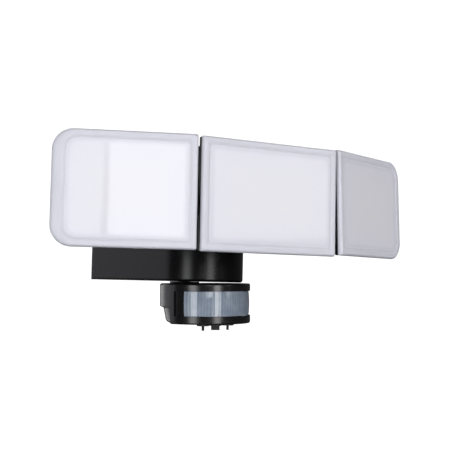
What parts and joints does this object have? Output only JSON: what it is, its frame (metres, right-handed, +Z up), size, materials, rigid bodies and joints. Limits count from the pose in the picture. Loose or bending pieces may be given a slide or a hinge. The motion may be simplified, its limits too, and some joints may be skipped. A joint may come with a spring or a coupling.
{
  "type": "motion-sensor floodlight",
  "caption": "Wall-mounted LED security floodlight with opal heads in a bow on a flared base, tilting and panning, with a swivelling motion sensor and dials below.",
  "frame": {"origin": "centre of the face that lies on the wall", "axes": "+Y into the wall, -Y the front, +Z up, +X to the right of someone facing the light"},
  "size_m": [0.3504, 0.222, 0.1629],
  "materials": {
    "opal_diffuser": "frosted opal with a soft gloss",
    "grey_seal": "matt",
    "bronze_cast": "dark bronze powder coat, satin",
    "white_reflector": "white, semi-gloss",
    "board_white": "white solder mask",
    "led_phosphor": "yellow phosphor",
    "steel_screws": "zinc plated",
    "dark_screws": "black oxide",
    "black_nylon": "smooth",
    "zinc_plate": "zinc plated sheet",
    "grey_foam": "closed-cell foam",
    "black_rubber": "matt",
    "driver_case": "drawn, satin",
    "terminal_plastic": "ivory",
    "bronze_plastic": "dark bronze, satin moulded",
    "milky_lens": "milky blue-grey polyethylene with fine ribs",
    "board_green": "green solder mask",
    "sensor_can": "nickel plated",
    "pot_plastic": "dark blue",
    "dial_plastic": "black, satin"
  },
  "bodies": {
    "base": {"arm_screws": "steel_screws", "back_plate": "zinc_plate", "base_housing": "bronze_cast", "centre_neck": "bronze_cast", "crossbar_screws": "steel_screws", "housing_screws": "steel_screws", "led_driver": "driver_case", "left_arm": "bronze_cast", "right_arm": "bronze_cast", "swivel_bush": "black_nylon", "terminal_block": "terminal_plastic", "wall_crossbar": "zinc_plate", "wall_gasket": "grey_foam", "wire_grommet": "black_rubber"},
    "centre_head": {"centre_board_screws": "steel_screws", "centre_cast_tray": "bronze_cast", "centre_diffuser": "opal_diffuser", "centre_head_gasket": "grey_seal", "centre_led_board": "board_white", "centre_leds": "led_phosphor", "centre_reflector": "white_reflector", "centre_tilt_bolt": "dark_screws", "centre_tilt_nut": "dark_screws"},
    "left_head": {"left_board_screws": "steel_screws", "left_cast_tray": "bronze_cast", "left_diffuser": "opal_diffuser", "left_head_gasket": "grey_seal", "left_led_board": "board_white", "left_leds": "led_phosphor", "left_reflector": "white_reflector", "left_tilt_bolt": "dark_screws", "left_tilt_nut": "dark_screws"},
    "right_head": {"right_board_screws": "steel_screws", "right_cast_tray": "bronze_cast", "right_diffuser": "opal_diffuser", "right_head_gasket": "grey_seal", "right_led_board": "board_white", "right_leds": "led_phosphor", "right_reflector": "white_reflector", "right_tilt_bolt": "dark_screws", "right_tilt_nut": "dark_screws"},
    "left_pan": {"left_pan_link": "bronze_cast", "left_pan_pin": "dark_screws", "left_pan_nut": "dark_screws"},
    "right_pan": {"right_pan_link": "bronze_cast", "right_pan_pin": "dark_screws", "right_pan_nut": "dark_screws"},
    "sensor_swivel": {"swivel_neck": "black_nylon", "swivel_retainer": "black_nylon", "sensor_hinge_pin": "dark_screws"},
    "sensor_head": {"sensor_front_shell": "bronze_plastic", "sensor_rear_cover": "bronze_plastic", "fresnel_lens": "milky_lens", "sensor_board": "board_green", "pir_sensor": "sensor_can", "potentiometers": "pot_plastic", "sensor_screws": "steel_screws"},
    "time_knob": {"time_dial": "dial_plastic"},
    "range_knob": {"range_dial": "dial_plastic"},
    "light_knob": {"light_dial": "dial_plastic"}
  },
  "joints": [
    {"name": "centre_tilt", "type": "hinge", "parent": "base", "child": "centre_head", "pos_m": [0, -0.1805, 0.009], "axis": [1, 0, 0], "range_deg": [-20, 35]},
    {"name": "left_pan_turn", "type": "hinge", "parent": "base", "child": "left_pan", "pos_m": [-0.10005, -0.14368, 0.009], "axis": [0, 0, -1], "range_deg": [0, 35]},
    {"name": "left_tilt", "type": "hinge", "parent": "left_pan", "child": "left_head", "pos_m": [-0.10748, -0.16225, 0.009], "axis": [-0.9285, 0.3714, 0], "range_deg": [-35, 20]},
    {"name": "right_pan_turn", "type": "hinge", "parent": "base", "child": "right_pan", "pos_m": [0.10005, -0.14368, 0.009], "axis": [0, 0, 1], "range_deg": [0, 35]},
    {"name": "right_tilt", "type": "hinge", "parent": "right_pan", "child": "right_head", "pos_m": [0.10748, -0.16225, 0.009], "axis": [-0.9285, -0.3714, 0], "range_deg": [-35, 20]},
    {"name": "sensor_pan", "type": "hinge", "parent": "base", "child": "sensor_swivel", "pos_m": [0, -0.0747, -0.0601], "axis": [0, 0, 1], "range_deg": [-60, 60]},
    {"name": "sensor_tilt", "type": "hinge", "parent": "sensor_swivel", "child": "sensor_head", "pos_m": [0, -0.0747, -0.074], "axis": [0.9997, 0, 0.0244], "range_deg": [0, 40]},
    {"name": "time_turn", "type": "hinge", "parent": "sensor_head", "child": "time_knob", "pos_m": [-0.01214, -0.1323, -0.097], "axis": [0.0244, 0, -0.9997], "range_deg": [0, 270]},
    {"name": "range_turn", "type": "hinge", "parent": "sensor_head", "child": "range_knob", "pos_m": [0.00056, -0.1323, -0.09669], "axis": [0.0244, 0, -0.9997], "range_deg": [0, 270]},
    {"name": "light_turn", "type": "hinge", "parent": "sensor_head", "child": "light_knob", "pos_m": [0.01325, -0.1323, -0.09638], "axis": [0.0244, 0, -0.9997], "range_deg": [0, 270]}
  ]
}
